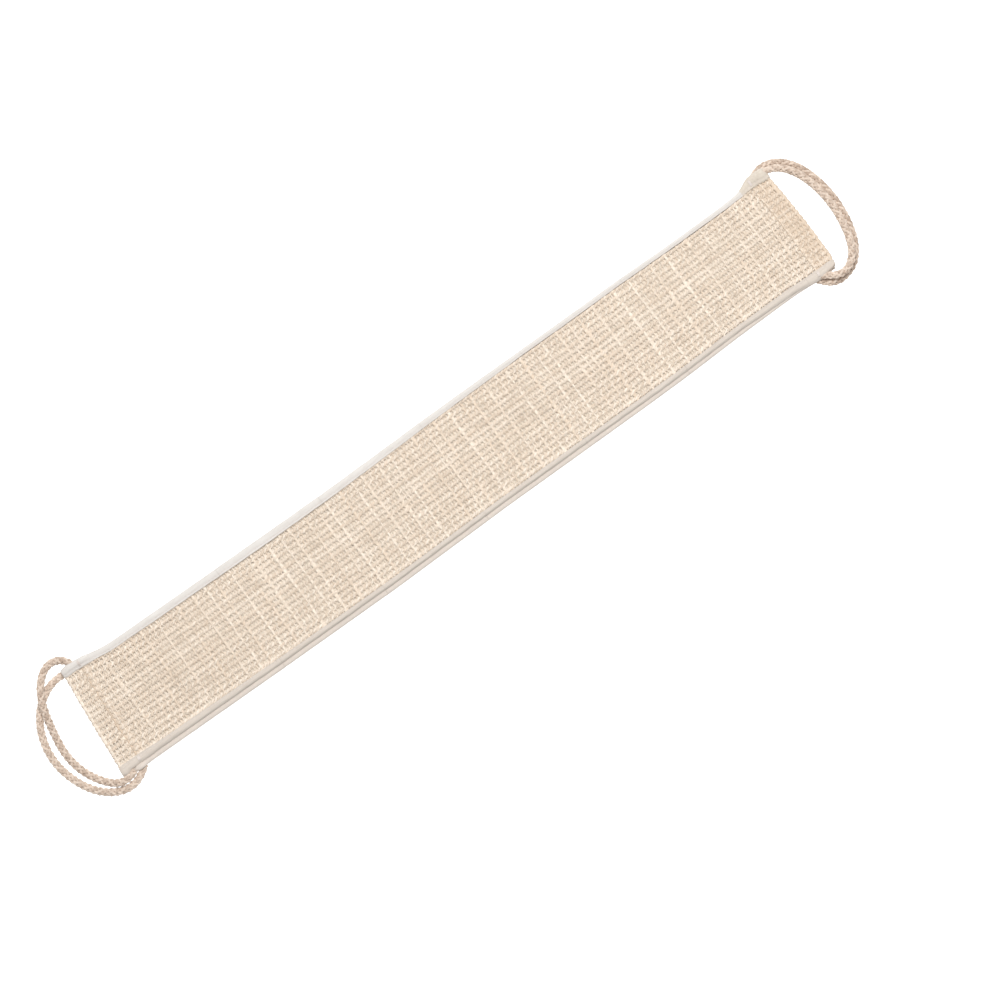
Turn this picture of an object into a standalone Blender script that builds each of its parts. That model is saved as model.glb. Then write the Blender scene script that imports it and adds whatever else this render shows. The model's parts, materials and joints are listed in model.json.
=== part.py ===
"""Back scrubber strap: a woven front and a cloth back, bound together, with a doubled rope handle at each end.

It lies flat with its front up: length along X, width along Y, underside at Z = 0, centre of the strap at X = Y = 0.
The strap bends at crosswise lines, so its cloth is divided there into segments; the rope loops swing at its ends.
"""

import math

import bmesh
import bpy
from mathutils import Vector

MM = 0.001
CLEARANCE = 0.3 * MM  # left between pieces that touch

# The strap
STRAP_LENGTH = 685 * MM
FRONT_WIDTH = 90 * MM
BACK_OVERHANG = 4.5 * MM  # the back cloth shows past the front's lower edge
BACK_THICKNESS = 3.0 * MM
MESH_THICKNESS = 2.7 * MM
BINDING_CLOTH = 0.6 * MM
BINDING_WIDTH = 5.5 * MM

# The bending lines across it
SEGMENTS = 7
LARGEST_BEND = math.radians(30)

# The folded cloth tab at each corner, which holds the rope ends
TAB_LENGTH = 25 * MM
TAB_INNER = 41 * MM
TAB_OUTER = 49.5 * MM
TAB_CLOTH = 0.8 * MM
BARTACK_LENGTH = 7 * MM
BARTACK_WIDTH = 1.8 * MM
BARTACK_HEIGHT = 0.5 * MM

# The ropes
ROPE_DIAMETER = 6.2 * MM
ROPE_SIDES = 12
ROPE_RING_SPACING = 5 * MM
ROUTE_SPACING = 2 * MM  # of the points that a route is smoothed on
ROUTE_SMOOTHING = 5  # passes
SEWN_HEIGHT = 3.2 * MM  # a rope end is sewn flat inside its tab
SEWN_WIDTH = 7.4 * MM
TAB_TO_FREE = 2.5 * MM  # from the tab's edge to where a rope starts to rise and fill out
SEWN_TO_FREE = 4 * MM  # distance over which it leaves its sewn height
SEWN_TO_ROUND = 8 * MM  # distance over which it fills out again
SWING_AXIS_X = 349 * MM
SWING_CUT = 7.4 * MM  # from the swing axis to each rope's rounded end

# Heights
BINDING_BOTTOM = BACK_THICKNESS + CLEARANCE
MESH_BOTTOM = BINDING_BOTTOM + BINDING_CLOTH + CLEARANCE
BINDING_TOP = MESH_BOTTOM + MESH_THICKNESS + CLEARANCE + BINDING_CLOTH
BEND_AXIS_Z = BINDING_TOP / 2
LOWER_ROPE_SEWN_Z = TAB_CLOTH + CLEARANCE + SEWN_HEIGHT / 2
UPPER_ROPE_SEWN_Z = LOWER_ROPE_SEWN_Z + SEWN_HEIGHT + CLEARANCE
TAB_TOP = UPPER_ROPE_SEWN_Z + SEWN_HEIGHT / 2 + CLEARANCE + TAB_CLOTH
ROPE_RADIUS = ROPE_DIAMETER / 2
FLOOR_Z = ROPE_RADIUS  # centre of a rope that lies on the floor
STACKED_Z = FLOOR_Z + 5.9 * MM  # centre of a rope that lies on another, a little to one side
CROSSING_Z = FLOOR_Z + ROPE_DIAMETER + CLEARANCE  # centre of a rope that crosses over another
SWING_AXIS_Z = (FLOOR_Z + STACKED_Z) / 2

HALF_LENGTH = STRAP_LENGTH / 2
HALF_WIDTH = FRONT_WIDTH / 2
SEGMENT_LENGTH = STRAP_LENGTH / SEGMENTS
BEND_GAP = BINDING_TOP * math.tan(LARGEST_BEND / 2) + CLEARANCE
TAB_START = HALF_LENGTH - TAB_LENGTH

# Routes of the ropes, from the upper corner round to the lower one, in millimetres, and the height of each point:
# "low" and "high" in a tab, "floor" on the floor, "rise" on the way up, "top" lying on another rope, "cross" over one.
HEIGHTS = {
    "low": LOWER_ROPE_SEWN_Z,
    "high": UPPER_ROPE_SEWN_Z,
    "floor": FLOOR_Z,
    "rise": (UPPER_ROPE_SEWN_Z + STACKED_Z) / 2,
    "top": STACKED_Z,
    "cross": CROSSING_Z,
}
LEFT_FRONT_ROPE = [
    (-328.0, 42.8, "high"),
    (-328.1, 47.4, "high"),
    (-329.2, 51.6, "high"),
    (-333.0, 56.8, "high"),
    (-340.4, 59.4, "rise"),
    (-349.0, 57.0, "top"),
    (-357.2, 49.0, "cross"),
    (-363.3, 38.2, "cross"),
    (-367.3, 25.6, "rise"),
    (-370.3, 12.6, "floor"),
    (-372.1, -1.2, "floor"),
    (-371.1, -15.2, "floor"),
    (-366.6, -28.8, "floor"),
    (-359.5, -40.2, "floor"),
    (-350.6, -48.3, "high"),
    (-343.0, -49.1, "high"),
    (-336.0, -46.9, "high"),
    (-328.0, -45.6, "high"),
]
LEFT_BACK_ROPE = [
    (-321.0, 46.2, "low"),
    (-329.0, 46.2, "low"),
    (-337.5, 46.9, "low"),
    (-347.0, 46.8, "floor"),
    (-357.2, 43.2, "floor"),
    (-368.0, 35.2, "floor"),
    (-376.4, 23.2, "floor"),
    (-381.3, 8.8, "floor"),
    (-382.4, -5.0, "floor"),
    (-380.2, -18.8, "floor"),
    (-374.5, -33.4, "floor"),
    (-366.0, -45.2, "floor"),
    (-355.5, -52.6, "floor"),
    (-345.4, -55.3, "floor"),
    (-337.2, -53.7, "floor"),
    (-331.2, -50.4, "low"),
    (-326.2, -46.2, "low"),
]
RIGHT_FRONT_ROPE = [
    (321.0, 46.2, "high"),
    (328.5, 46.4, "high"),
    (336.5, 47.0, "high"),
    (344.8, 45.6, "rise"),
    (352.2, 40.7, "top"),
    (358.6, 32.2, "top"),
    (363.4, 20.6, "top"),
    (366.3, 7.0, "top"),
    (367.0, -7.8, "top"),
    (365.4, -23.0, "top"),
    (361.6, -37.6, "top"),
    (354.6, -49.9, "cross"),
    (344.6, -56.0, "cross"),
    (335.4, -54.4, "cross"),
    (328.4, -48.6, "high"),
    (322.0, -46.0, "high"),
]
RIGHT_BACK_ROPE = [
    (321.0, 46.2, "low"),
    (328.5, 47.3, "low"),
    (336.2, 50.9, "low"),
    (345.4, 51.0, "floor"),
    (355.2, 46.1, "floor"),
    (363.8, 36.4, "floor"),
    (369.3, 22.8, "floor"),
    (372.3, 8.0, "floor"),
    (372.8, -8.0, "floor"),
    (370.4, -24.8, "floor"),
    (365.2, -40.2, "floor"),
    (356.2, -52.4, "floor"),
    (345.2, -57.9, "floor"),
    (334.8, -58.3, "floor"),
    (327.2, -53.8, "low"),
    (321.8, -46.8, "low"),
]

SISAL = {"colour": (0.79, 0.68, 0.54), "roughness": 0.9}
TERRY = {"colour": (0.86, 0.78, 0.68), "roughness": 0.95}
COTTON = {"colour": (0.85, 0.77, 0.72), "roughness": 0.85}
ROPE = {"colour": (0.75, 0.58, 0.44), "roughness": 0.85}
THREAD = {"colour": (0.80, 0.72, 0.65), "roughness": 0.7}


def clear_scene():
    for item in list(bpy.data.objects):
        bpy.data.objects.remove(item)


def make_material(name, colour, roughness):
    material = bpy.data.materials.new(name)
    material.use_nodes = True
    shader = material.node_tree.nodes["Principled BSDF"]
    shader.inputs["Base Color"].default_value = (*colour, 1.0)
    shader.inputs["Roughness"].default_value = roughness
    shader.inputs["Metallic"].default_value = 0.0
    material.diffuse_color = (*colour, 1.0)
    return material


def make_body(name, axis_point, parent=None):
    """An empty on the body's joint axis; the body's pieces are parented to it."""
    body = bpy.data.objects.new(name, None)
    bpy.context.scene.collection.objects.link(body)
    body.location = axis_point
    if parent is not None:
        body.parent = parent
        body.location = Vector(axis_point) - world_place(parent)
    return body


def world_place(body):
    place = Vector(body.location)
    if body.parent is not None:
        place += world_place(body.parent)
    return place


def add_piece(name, shape, body, finish):
    """A named object from a bmesh in world coordinates, with its origin at its body's joint axis."""
    bmesh.ops.recalc_face_normals(shape, faces=shape.faces)
    bmesh.ops.translate(shape, verts=shape.verts, vec=-world_place(body))
    mesh = bpy.data.meshes.new(name)
    shape.to_mesh(mesh)
    shape.free()
    mesh.materials.append(make_material(name + "_material", **finish))
    piece = bpy.data.objects.new(name, mesh)
    bpy.context.scene.collection.objects.link(piece)
    piece.parent = body
    return piece


def soften(piece, width):
    bevel = piece.modifiers.new("soft_edges", "BEVEL")
    bevel.width = width
    bevel.segments = 2
    bevel.limit_method = "ANGLE"


def extrude_outline(outline, offset):
    """A closed solid: the outline's points, filled and drawn out by offset."""
    shape = bmesh.new()
    face = shape.faces.new([shape.verts.new(point) for point in outline])
    drawn = bmesh.ops.extrude_face_region(shape, geom=[face])
    moved = [item for item in drawn["geom"] if isinstance(item, bmesh.types.BMVert)]
    bmesh.ops.translate(shape, verts=moved, vec=offset)
    return shape


def panel_outline(start, end, lower, upper, height):
    """A panel's plan between two X, narrowed between the corner tabs where it reaches them."""
    inner = TAB_INNER - CLEARANCE
    if start < -TAB_START:
        notch = -TAB_START
        plan = [(start, -inner), (notch, -inner), (notch, lower), (end, lower)]
        plan += [(end, upper), (notch, upper), (notch, inner), (start, inner)]
    elif end > TAB_START:
        notch = TAB_START
        plan = [(start, lower), (notch, lower), (notch, -inner), (end, -inner)]
        plan += [(end, inner), (notch, inner), (notch, upper), (start, upper)]
    else:
        plan = [(start, lower), (end, lower), (end, upper), (start, upper)]
    return [(x, y, height) for x, y in plan]


def add_panel(name, span, sides, heights, body, finish):
    outline = panel_outline(*span, *sides, heights[0])
    shape = extrude_outline(outline, (0, 0, heights[1] - heights[0]))
    return add_piece(name, shape, body, finish)


def folded_profile(x, spine, edge, bottom, top, cloth):
    """A cloth strip folded round a spine, open at its edge, seen along X."""
    inward = math.copysign(cloth, edge - spine)
    return [
        (x, spine, bottom),
        (x, edge, bottom),
        (x, edge, bottom + cloth),
        (x, spine + inward, bottom + cloth),
        (x, spine + inward, top - cloth),
        (x, edge, top - cloth),
        (x, edge, top),
        (x, spine, top),
    ]


def add_binding(name, span, side, body):
    start = max(span[0], -TAB_START)
    end = min(span[1], TAB_START)
    spine = side * HALF_WIDTH
    edge = side * (HALF_WIDTH - BINDING_WIDTH)
    outline = folded_profile(start, spine, edge, BINDING_BOTTOM, BINDING_TOP, BINDING_CLOTH)
    add_piece(name, extrude_outline(outline, (end - start, 0, 0)), body, COTTON)


def add_corner_tab(name, end, side, body):
    start = end * (TAB_START + CLEARANCE)
    length = end * (TAB_LENGTH - CLEARANCE)
    outline = folded_profile(start, side * TAB_INNER, side * TAB_OUTER, 0, TAB_TOP, TAB_CLOTH)
    add_piece(name, extrude_outline(outline, (length, 0, 0)), body, COTTON)


def add_bartack(name, end, side, body):
    """The dense bar of stitches that holds the rope ends in a tab."""
    shape = bmesh.new()
    bmesh.ops.create_cube(shape, size=1)
    size = (BARTACK_WIDTH, BARTACK_LENGTH, BARTACK_HEIGHT)
    bmesh.ops.scale(shape, verts=shape.verts, vec=size)
    place = (
        end * (TAB_START + TAB_LENGTH / 3),
        side * (TAB_INNER + TAB_OUTER) / 2,
        TAB_TOP + CLEARANCE + BARTACK_HEIGHT / 2,
    )
    bmesh.ops.translate(shape, verts=shape.verts, vec=place)
    soften(add_piece(name, shape, body, THREAD), BARTACK_HEIGHT / 3)


def smooth_route(points, steps=24):
    """Points of a smooth curve through the route, in metres."""
    route = [Vector((x * MM, y * MM, HEIGHTS[height])) for x, y, height in points]
    padded = [2 * route[0] - route[1], *route, 2 * route[-1] - route[-2]]
    line = []
    for before, start, end, after in zip(padded, padded[1:], padded[2:], padded[3:]):
        for step in range(steps):
            t = step / steps
            square = 2 * before - 5 * start + 4 * end - after
            cube = 3 * start - before - 3 * end + after
            point = 0.5 * (2 * start + (end - before) * t + square * t**2 + cube * t**3)
            point.z = min(max(point.z, min(start.z, end.z)), max(start.z, end.z))
            line.append(point)
    line.append(route[-1])
    line = spaced(line, ROUTE_SPACING)
    for _ in range(ROUTE_SMOOTHING):
        inner = [(a + 2 * b + c) / 4 for a, b, c in zip(line, line[1:], line[2:])]
        line = [line[0], *inner, line[-1]]
    for point in line:
        free = eased((outside_tab(point) - TAB_TO_FREE) / SEWN_TO_FREE)
        point.z = route[0].z + (point.z - route[0].z) * free
    return spaced(line, ROUTE_SPACING / 4)


def spaced(line, spacing):
    """The line's points at even distances of about the spacing."""
    run = [0.0]
    for start, end in zip(line, line[1:]):
        run.append(run[-1] + (end - start).length)
    count = max(2, round(run[-1] / spacing))
    found = []
    index = 0
    for step in range(count + 1):
        distance = run[-1] * step / count
        while index < len(run) - 2 and run[index + 1] < distance:
            index += 1
        share = (distance - run[index]) / (run[index + 1] - run[index])
        found.append(line[index].lerp(line[index + 1], share))
    return found


def outside_tab(point):
    """How far a point is past the edges of the corner tabs, in plan."""
    return max(abs(point.x) - HALF_LENGTH, abs(point.y) - TAB_OUTER)


def eased(share):
    """The share held between 0 and 1, with a slow start and a slow end."""
    share = min(1, max(0, share))
    return share * share * (3 - 2 * share)


def rope_rings(points, round_start, round_end):
    """Each ring's centre, direction, half width and half height, with a rounded tip where one is asked for."""
    rings = []
    for index, point in enumerate(points):
        before = points[max(0, index - 1)]
        after = points[min(len(points) - 1, index + 1)]
        full = eased((outside_tab(point) - TAB_TO_FREE) / SEWN_TO_ROUND)
        width = SEWN_WIDTH / 2 * (1 - full) + ROPE_RADIUS * full
        height = SEWN_HEIGHT / 2 * (1 - full) + ROPE_RADIUS * full
        rings.append((point, (after - before).normalized(), width, height))
    tip = [(math.sin(angle), math.cos(angle)) for angle in (math.radians(a) for a in (35, 65, 82))]
    if round_start:
        centre, way, width, height = rings[0]
        for out, share in tip:
            rings.insert(0, (centre - way * height * out, way, width * share, height * share))
    if round_end:
        centre, way, width, height = rings[-1]
        for out, share in tip:
            rings.append((centre + way * height * out, way, width * share, height * share))
    return rings


def add_rope(name, points, body, round_start, round_end):
    shape = bmesh.new()
    loops = []
    for centre, way, width, height in rope_rings(points, round_start, round_end):
        across = way.cross(Vector((0, 0, 1))).normalized()
        up = across.cross(way)
        loop = []
        for index in range(ROPE_SIDES):
            angle = 2 * math.pi * index / ROPE_SIDES
            aside = across * width * math.cos(angle)
            loop.append(shape.verts.new(centre + aside + up * height * math.sin(angle)))
        loops.append(loop)
    for here, there in zip(loops, loops[1:]):
        for index in range(ROPE_SIDES):
            following = (index + 1) % ROPE_SIDES
            shape.faces.new((here[index], here[following], there[following], there[index]))
    shape.faces.new(loops[0])
    shape.faces.new(loops[-1])
    piece = add_piece(name, shape, body, ROPE)
    piece.data.shade_smooth()
    piece.data.set_sharp_from_angle(angle=math.radians(50))


def add_rope_strand(name, route, strap_end, handle):
    """A rope's loop, which swings, and its two sewn ends, which stay with the strap."""
    line = smooth_route(route)
    fixed = SWING_AXIS_X - SWING_CUT
    moving = SWING_AXIS_X + SWING_CUT
    first = next(i for i, point in enumerate(line) if abs(point.x) > fixed)
    last = max(i for i, point in enumerate(line) if abs(point.x) > fixed)
    add_rope(name + "_upper_end", spaced(line[:first], ROPE_RING_SPACING / 2), strap_end, False, True)
    add_rope(name + "_lower_end", spaced(line[last + 1 :], ROPE_RING_SPACING / 2), strap_end, True, False)
    loop = [point for point in line if abs(point.x) > moving]
    add_rope(name + "_loop", spaced(loop, ROPE_RING_SPACING), handle, True, True)


def segment_span(number):
    """The X where a segment's cloth starts and ends; the strap's own ends have no gap."""
    start = -HALF_LENGTH + (number - 1) * SEGMENT_LENGTH
    end = start + SEGMENT_LENGTH
    if number > 1:
        start += BEND_GAP / 2
    if number < SEGMENTS:
        end -= BEND_GAP / 2
    return start, end


def bend_line(number):
    """The axis point of the bending line between segment number and the next one."""
    return -HALF_LENGTH + number * SEGMENT_LENGTH, 0, BEND_AXIS_Z


def add_segment(number, body):
    span = segment_span(number)
    back_sides = (-HALF_WIDTH - BACK_OVERHANG, HALF_WIDTH)
    add_panel(f"back_cloth_{number}", span, back_sides, (0, BACK_THICKNESS), body, TERRY)
    mesh_edge = HALF_WIDTH - BINDING_CLOTH - CLEARANCE
    mesh_heights = (MESH_BOTTOM, MESH_BOTTOM + MESH_THICKNESS)
    add_panel(f"front_mesh_{number}", span, (-mesh_edge, mesh_edge), mesh_heights, body, SISAL)
    add_binding(f"upper_binding_{number}", span, 1, body)
    add_binding(f"lower_binding_{number}", span, -1, body)


def main():
    clear_scene()
    middle = (SEGMENTS + 1) // 2
    bodies = {middle: make_body(f"strap_{middle}_body", (0, 0, BEND_AXIS_Z))}
    for number in range(middle - 1, 0, -1):
        bodies[number] = make_body(f"strap_{number}_body", bend_line(number), bodies[number + 1])
    for number in range(middle + 1, SEGMENTS + 1):
        bodies[number] = make_body(f"strap_{number}_body", bend_line(number - 1), bodies[number - 1])
    for number, body in bodies.items():
        add_segment(number, body)

    ends = {"left": (-1, bodies[1]), "right": (1, bodies[SEGMENTS])}
    routes = {
        "left": (LEFT_FRONT_ROPE, LEFT_BACK_ROPE),
        "right": (RIGHT_FRONT_ROPE, RIGHT_BACK_ROPE),
    }
    for word, (end, strap_end) in ends.items():
        handle = make_body(f"{word}_handle_body", (end * SWING_AXIS_X, 0, SWING_AXIS_Z), strap_end)
        front_route, back_route = routes[word]
        add_rope_strand(f"{word}_front_rope", front_route, strap_end, handle)
        add_rope_strand(f"{word}_back_rope", back_route, strap_end, handle)
        for corner, side in (("upper", 1), ("lower", -1)):
            add_corner_tab(f"{word}_{corner}_corner_tab", end, side, strap_end)
            add_bartack(f"{word}_{corner}_bartack", end, side, strap_end)


main()
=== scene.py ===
"""The looks of a back scrubber strap: woven front, terry back, stitched bindings and braided rope loops.

The strap lies flat, length along X, width along Y, front up. Its cloth is divided midway between the bending
lines, so each length of cloth runs from the middle of one segment to the middle of the next. Sizes are in
metres.
"""

import json
import math

import bpy
import numpy as np
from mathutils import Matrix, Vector


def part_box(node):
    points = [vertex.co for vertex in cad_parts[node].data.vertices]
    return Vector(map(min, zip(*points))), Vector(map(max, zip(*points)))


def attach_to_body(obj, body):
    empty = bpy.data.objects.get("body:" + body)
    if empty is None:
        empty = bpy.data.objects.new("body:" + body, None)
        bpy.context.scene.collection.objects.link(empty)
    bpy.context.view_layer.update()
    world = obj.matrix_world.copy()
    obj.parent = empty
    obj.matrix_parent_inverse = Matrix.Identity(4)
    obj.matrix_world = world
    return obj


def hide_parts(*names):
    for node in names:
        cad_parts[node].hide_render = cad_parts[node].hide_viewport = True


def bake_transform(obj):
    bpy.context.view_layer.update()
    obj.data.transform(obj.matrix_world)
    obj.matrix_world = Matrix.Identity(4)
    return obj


MM = 0.001
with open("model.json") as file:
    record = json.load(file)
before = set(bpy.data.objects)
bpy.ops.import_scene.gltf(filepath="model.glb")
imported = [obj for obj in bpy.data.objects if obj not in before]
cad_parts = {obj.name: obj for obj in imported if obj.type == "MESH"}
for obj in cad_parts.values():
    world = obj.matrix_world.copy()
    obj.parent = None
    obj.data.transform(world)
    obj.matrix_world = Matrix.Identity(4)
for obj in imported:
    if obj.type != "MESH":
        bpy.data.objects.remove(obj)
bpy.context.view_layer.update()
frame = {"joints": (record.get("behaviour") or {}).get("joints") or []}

# What the frame says about the strap
SEGMENTS = 7
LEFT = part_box("front_mesh_1")[0].x
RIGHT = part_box(f"front_mesh_{SEGMENTS}")[1].x
HALF_LENGTH = (RIGHT - LEFT) / 2
SEGMENT_LENGTH = (RIGHT - LEFT) / SEGMENTS
HALF_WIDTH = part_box("upper_binding_4")[1].y
BACK_LOW_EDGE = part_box("back_cloth_4")[0].y
BINDING_LOW, BINDING_HIGH = (corner.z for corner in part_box("upper_binding_4"))
TAB_START = -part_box("left_upper_corner_tab")[1].x
TAB_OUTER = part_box("left_upper_corner_tab")[1].y
TAB_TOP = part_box("left_upper_corner_tab")[1].z
SWING_X = -next(j for j in frame["joints"] if j["name"] == "left_handle_swing")["pos_m"][0]

# The weave
WALES = 17
WALE_PITCH = 4.9 * MM
WALE_SWAY = 0.82 * MM
WALE_RISE = 0.60 * MM
WALE_RADIUS = 0.77 * MM
WEFT_COUNT = 234
WEFT_PITCH = (RIGHT - LEFT) / WEFT_COUNT
WEFT_REACH = 43.5 * MM  # each side of the middle
WEFT_RADIUS = 0.80 * MM
MESH_Z = 5.5 * MM
LEFT_SEAM = LEFT + 15.6 * MM
RIGHT_SEAM = RIGHT - 17 * MM
GROUND_HALF = 1.5 * MM  # half the width of the net's bands under the lengthwise strands
FIBRES = 6500
FIBRE_REACH = 38 * MM  # each side of the middle

# The ropes
PLY_RADIUS = 1.08 * MM
PLY_ORBIT = 1.88 * MM
PLY_WEAVE = 0.50 * MM
BRAID_PITCH = 18 * MM

# Cloth
STITCH_PITCH = 3.1 * MM
STITCH_RADIUS = 0.21 * MM
BARTACK_RADIUS = 0.17 * MM
CREST = 0.62  # the share of a binding's width, from its inner edge, over which it rises to full height
STITCH_LINE = 0.24  # the share of a binding's width where it is sewn
TERRY_GRID = 1.15 * MM
TERRY_ROW, TERRY_LOOP = 2.3 * MM, 2.1 * MM  # the distance between its loops along and across the strap
STRAIGHT_REACH = 0.300  # the strap's ends slant from this far from its middle

# Each rope's route, from the upper corner round to the lower one
LEFT_FRONT_ROUTE = [
    (-0.3280, 0.0428, 0.0062),
    (-0.3281, 0.0474, 0.0062),
    (-0.3292, 0.0516, 0.0062),
    (-0.3330, 0.0568, 0.0062),
    (-0.3404, 0.0594, 0.0076),
    (-0.3490, 0.0570, 0.0090),
    (-0.3572, 0.0490, 0.0096),
    (-0.3633, 0.0382, 0.0096),
    (-0.3673, 0.0256, 0.0076),
    (-0.3703, 0.0126, 0.0031),
    (-0.3721, -0.0012, 0.0031),
    (-0.3711, -0.0152, 0.0031),
    (-0.3666, -0.0288, 0.0031),
    (-0.3595, -0.0402, 0.0031),
    (-0.3506, -0.0483, 0.0062),
    (-0.3430, -0.0491, 0.0062),
    (-0.3360, -0.0469, 0.0062),
    (-0.3280, -0.0456, 0.0062),
]
LEFT_BACK_ROUTE = [
    (-0.3210, 0.0462, 0.0027),
    (-0.3290, 0.0462, 0.0027),
    (-0.3375, 0.0469, 0.0027),
    (-0.3470, 0.0468, 0.0031),
    (-0.3572, 0.0432, 0.0031),
    (-0.3680, 0.0352, 0.0031),
    (-0.3764, 0.0232, 0.0031),
    (-0.3813, 0.0088, 0.0031),
    (-0.3824, -0.0050, 0.0031),
    (-0.3802, -0.0188, 0.0031),
    (-0.3745, -0.0334, 0.0031),
    (-0.3660, -0.0452, 0.0031),
    (-0.3555, -0.0526, 0.0031),
    (-0.3454, -0.0553, 0.0031),
    (-0.3372, -0.0537, 0.0031),
    (-0.3312, -0.0504, 0.0027),
    (-0.3262, -0.0462, 0.0027),
]
RIGHT_FRONT_ROUTE = [
    (0.3210, 0.0462, 0.0062),
    (0.3285, 0.0464, 0.0062),
    (0.3365, 0.0470, 0.0062),
    (0.3448, 0.0456, 0.0076),
    (0.3522, 0.0407, 0.0090),
    (0.3586, 0.0322, 0.0090),
    (0.3634, 0.0206, 0.0090),
    (0.3663, 0.0070, 0.0090),
    (0.3670, -0.0078, 0.0090),
    (0.3654, -0.0230, 0.0090),
    (0.3616, -0.0376, 0.0090),
    (0.3546, -0.0499, 0.0096),
    (0.3446, -0.0560, 0.0096),
    (0.3354, -0.0544, 0.0096),
    (0.3284, -0.0486, 0.0062),
    (0.3220, -0.0460, 0.0062),
]
RIGHT_BACK_ROUTE = [
    (0.3210, 0.0462, 0.0027),
    (0.3285, 0.0473, 0.0027),
    (0.3362, 0.0509, 0.0027),
    (0.3454, 0.0510, 0.0031),
    (0.3552, 0.0461, 0.0031),
    (0.3638, 0.0364, 0.0031),
    (0.3693, 0.0228, 0.0031),
    (0.3723, 0.0080, 0.0031),
    (0.3728, -0.0080, 0.0031),
    (0.3704, -0.0248, 0.0031),
    (0.3652, -0.0402, 0.0031),
    (0.3562, -0.0524, 0.0031),
    (0.3452, -0.0579, 0.0031),
    (0.3348, -0.0583, 0.0031),
    (0.3272, -0.0538, 0.0027),
    (0.3218, -0.0468, 0.0027),
]

# Where the strap's centre line lies to one side of straight: (x, y)
WAVE_X = (-0.345, -0.300, -0.200, -0.090, 0.020, 0.150, 0.260, 0.345)
WAVE_Y = (0.0012, 0.0006, -0.0009, -0.0019, -0.0007, -0.0011, -0.0005, 0.0002)

# How far from the middle the bindings' edges lie, in millimetres, at each X
EDGE_X = (-0.344, -0.3385, -0.3350, -0.328, -0.318, -0.308, -0.150)
EDGE_X += (-0.040, 0.100, 0.250, 0.308, 0.318, 0.327, 0.342)
UPPER_INNER = (38.6, 38.7, 38.8, 38.8, 39.0, 39.2, 38.0, 39.0, 40.8, 41.2, 41.0, 40.0, 38.6, 37.0)
UPPER_OUTER = (45.6, 45.6, 45.6, 45.6, 45.6, 45.5, 45.5, 45.5, 45.5, 45.5, 45.6, 45.8, 46.8, 47.4)
LOWER_INNER = (39.0, 39.1, 39.2, 39.2, 39.4, 40.0, 41.2, 41.2, 41.3, 41.8, 42.0, 42.0, 42.0, 42.0)
LOWER_OUTER = (48.4, 48.2, 46.4, 45.8, 45.6, 45.5, 45.4, 45.4, 45.6, 46.2, 48.0, 49.4, 49.9, 48.4)


# Noise and shape helpers


def ease(share):
    share = np.clip(share, 0, 1)
    return share * share * (3 - 2 * share)


def scatter(u, v, seed):
    """A steady random number between -1 and 1 for each whole-numbered place."""
    value = np.sin(u * 127.1 + v * 311.7 + seed * 74.7) * 43758.5453
    return 2 * (value - np.floor(value)) - 1


def noise(x, y, size_x, size_y, seed):
    """Smooth noise between -1 and 1, with features of about the given sizes."""
    u, v = np.broadcast_arrays(np.asarray(x) / size_x, np.asarray(y) / size_y)
    iu, iv = np.floor(u), np.floor(v)
    fu, fv = ease(u - iu), ease(v - iv)
    low = scatter(iu, iv, seed) * (1 - fu) + scatter(iu + 1, iv, seed) * fu
    high = scatter(iu, iv + 1, seed) * (1 - fu) + scatter(iu + 1, iv + 1, seed) * fu
    return low * (1 - fv) + high * fv


def end_share(x):
    """0 along the strap, rising to 1 at its ends."""
    return ease((np.abs(x) - STRAIGHT_REACH) / (HALF_LENGTH - STRAIGHT_REACH))


def lay(points):
    """Points of the flat pattern, moved to where the cloth really lies."""
    x, y, z = points[..., 0], points[..., 1], points[..., 2]
    side = np.clip(y / HALF_WIDTH, -1.1, 1.1)
    shift = np.interp(x, WAVE_X, WAVE_Y)
    left_flare = 4.2 * MM * ease((-x - 0.292) / 0.040) * np.clip(side, 0, 1) ** 2
    right_flare = 3.6 * MM * ease((x - 0.311) / 0.018) * np.clip(side, 0, 1) ** 2
    waist = -1.2 * MM * ease((x - 0.180) / 0.080) * ease((0.325 - x) / 0.030) * side
    left_slant = (0.4 + 3.6 * side + 0.7 * side**2) * MM * end_share(np.minimum(x, 0))
    cut_corner = 2.6 * ease((-side - 0.85) / 0.25)
    right_slant = (0.7 - 0.9 * side - 1.6 * side**2 - cut_corner) * MM * end_share(np.maximum(x, 0))
    ripple = 0.30 * MM * (1 + noise(x, y, 0.050, 0.070, 3))
    lifted = z + ripple * ease(z / (4 * MM))
    moved = (x + left_slant + right_slant, y + shift + left_flare + right_flare + waist, lifted)
    return np.stack(moved, axis=-1)


def make_mesh(name, points, faces, thread, material):
    """A smooth object. faces is a list of arrays of corners; thread is (along, around, yarn) at each point."""
    mesh = bpy.data.meshes.new(name)
    mesh.vertices.add(len(points))
    mesh.vertices.foreach_set("co", np.asarray(points, np.float32).ravel())
    corners = np.concatenate([face.ravel() for face in faces])
    sizes = np.concatenate([np.full(len(face), face.shape[1]) for face in faces])
    mesh.loops.add(len(corners))
    mesh.loops.foreach_set("vertex_index", corners.astype(np.int32))
    mesh.polygons.add(len(sizes))
    mesh.polygons.foreach_set("loop_start", (np.cumsum(sizes) - sizes).astype(np.int32))
    mesh.update(calc_edges=True)
    smooth = np.arange(len(sizes)) < len(faces[0])  # the caps after the first array are flat
    mesh.polygons.foreach_set("use_smooth", smooth)
    attribute = mesh.attributes.new("thread", "FLOAT_VECTOR", "POINT")
    attribute.data.foreach_set("vector", np.asarray(thread, np.float32).ravel())
    mesh.materials.append(material)
    made = bpy.data.objects.new(name, mesh)
    bpy.context.scene.collection.objects.link(made)
    return made


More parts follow.
